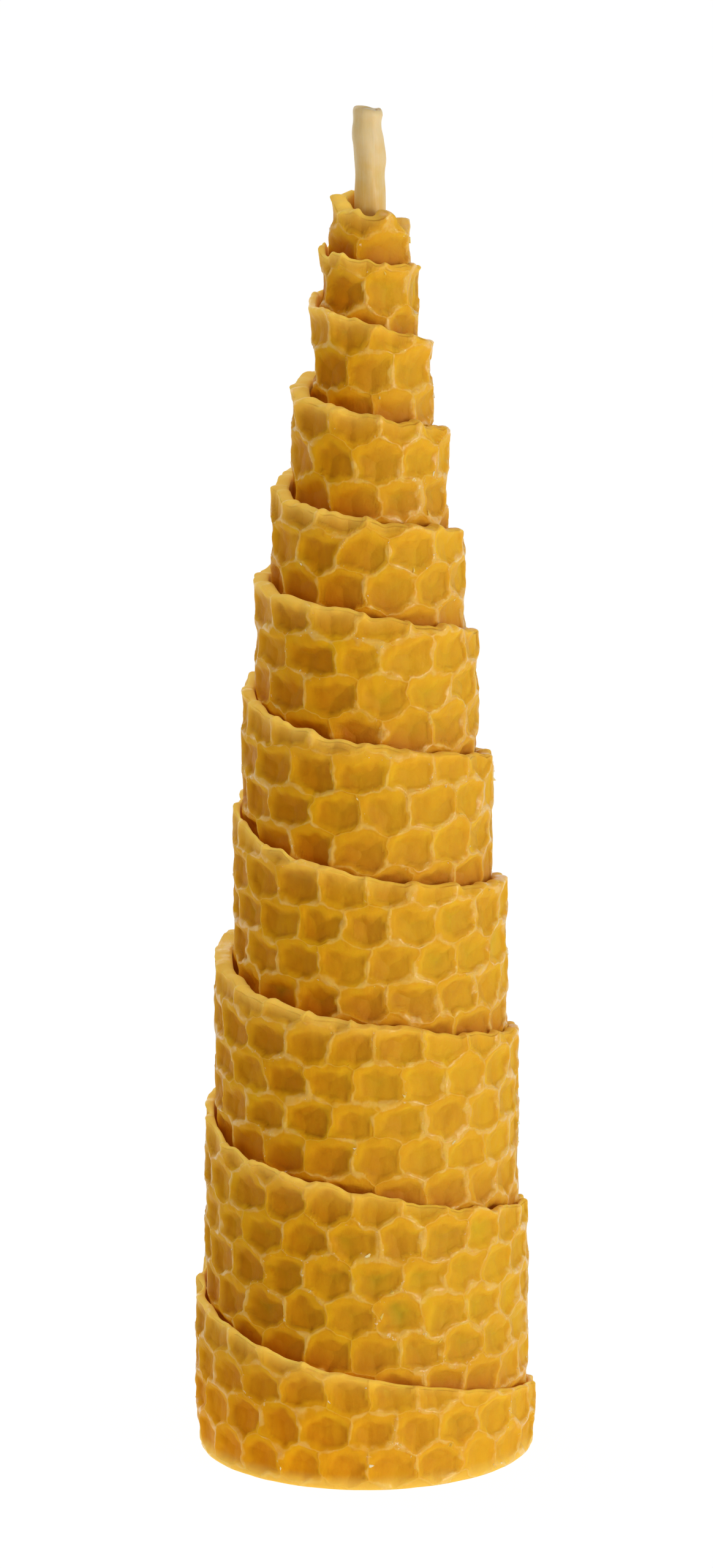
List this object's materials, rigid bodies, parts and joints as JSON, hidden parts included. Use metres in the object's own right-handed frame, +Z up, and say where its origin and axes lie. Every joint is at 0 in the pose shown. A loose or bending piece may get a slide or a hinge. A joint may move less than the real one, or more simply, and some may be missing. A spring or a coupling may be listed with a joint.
{
  "type": "rolled beeswax candle",
  "caption": "Tapered candle rolled from honeycomb wax sheet round a waxed cotton wick, its slanted top edge climbing as a spiral of steps.",
  "frame": {"origin": "on the roll's axis in the plane of the flat base", "axes": "+Z up along the candle towards the wick's tip; +X to the right and -Y to the front, as the candle is seen in the picture"},
  "size_m": [0.0403, 0.0406, 0.1576],
  "materials": {
    "beeswax_sheet": "golden translucent wax, pressed with cells, pale bloom on the cell walls",
    "wick_wax": "cream wax, smooth and slightly shiny",
    "wick_cotton": "braided cotton soaked in wax"
  },
  "bodies": {
    "root": {"wick_braid": "wick_cotton", "wick_wax_coat": "wick_wax", "inner_wax_sheet": "beeswax_sheet", "outer_wax_sheet": "beeswax_sheet"}
  },
  "joints": []
}
